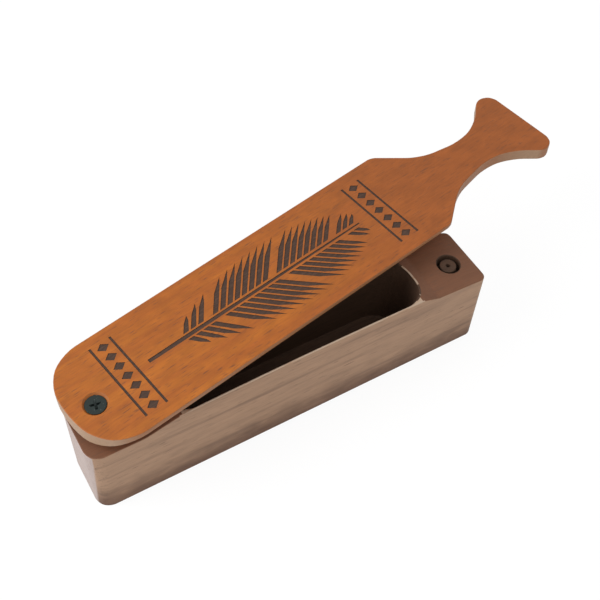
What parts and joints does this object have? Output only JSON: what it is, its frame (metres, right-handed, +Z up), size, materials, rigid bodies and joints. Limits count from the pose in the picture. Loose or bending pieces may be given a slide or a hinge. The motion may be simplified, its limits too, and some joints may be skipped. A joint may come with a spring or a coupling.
{
  "type": "friction bird call",
  "caption": "Hollow wooden sound box with arched lips and a crowned paddle lid that turns on a countersunk screw over a coil spring.",
  "frame": {"origin": "middle of the sound box's flat underside", "axes": "+X along the sound box towards the handle, +Z up out of the sound chamber"},
  "size_m": [0.2675, 0.0917, 0.0608],
  "materials": {
    "box_wood": "satin, grey-brown hardwood",
    "lid_wood": "satin, orange-brown hardwood",
    "black_steel": "black oxide",
    "spring_steel": "bright drawn wire"
  },
  "bodies": {
    "box": {"sound_box": "box_wood", "pivot_screw": "black_steel"},
    "spring": {"lid_spring": "spring_steel"},
    "lid": {"paddle_lid": "lid_wood"}
  },
  "joints": [
    {"name": "lid_swing", "type": "hinge", "parent": "box", "child": "spring", "pos_m": [-0.0872, 0, 0.0552], "axis": [0, 0, 1], "continuous": true},
    {"name": "lid_tilt", "type": "hinge", "parent": "spring", "child": "lid", "pos_m": [-0.0872, 0, 0.0552], "axis": [0.1822, -0.9833, 0], "range_deg": [0, 4], "deforming": ["lid_spring"]}
  ]
}
